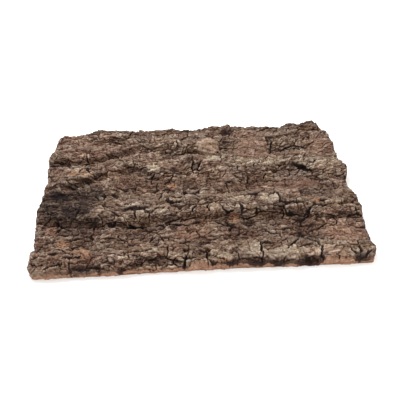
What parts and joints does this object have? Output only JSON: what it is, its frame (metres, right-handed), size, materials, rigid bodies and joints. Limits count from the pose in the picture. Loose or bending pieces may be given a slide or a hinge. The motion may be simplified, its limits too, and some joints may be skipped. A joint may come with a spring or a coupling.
{
  "type": "piece of bark",
  "caption": "Flat sawn slab of rough cork bark with long ridges, furrows and cracks, for a terrarium, backdrop or display.",
  "frame": {"origin": "middle of the flat underside", "axes": "+X along the grain and the long side, +Z out of the rough outer face"},
  "size_m": [0.6, 0.4, 0.037],
  "materials": {
    "bark": "rough"
  },
  "bodies": {
    "root": {"cork_bark": "bark"}
  },
  "joints": []
}
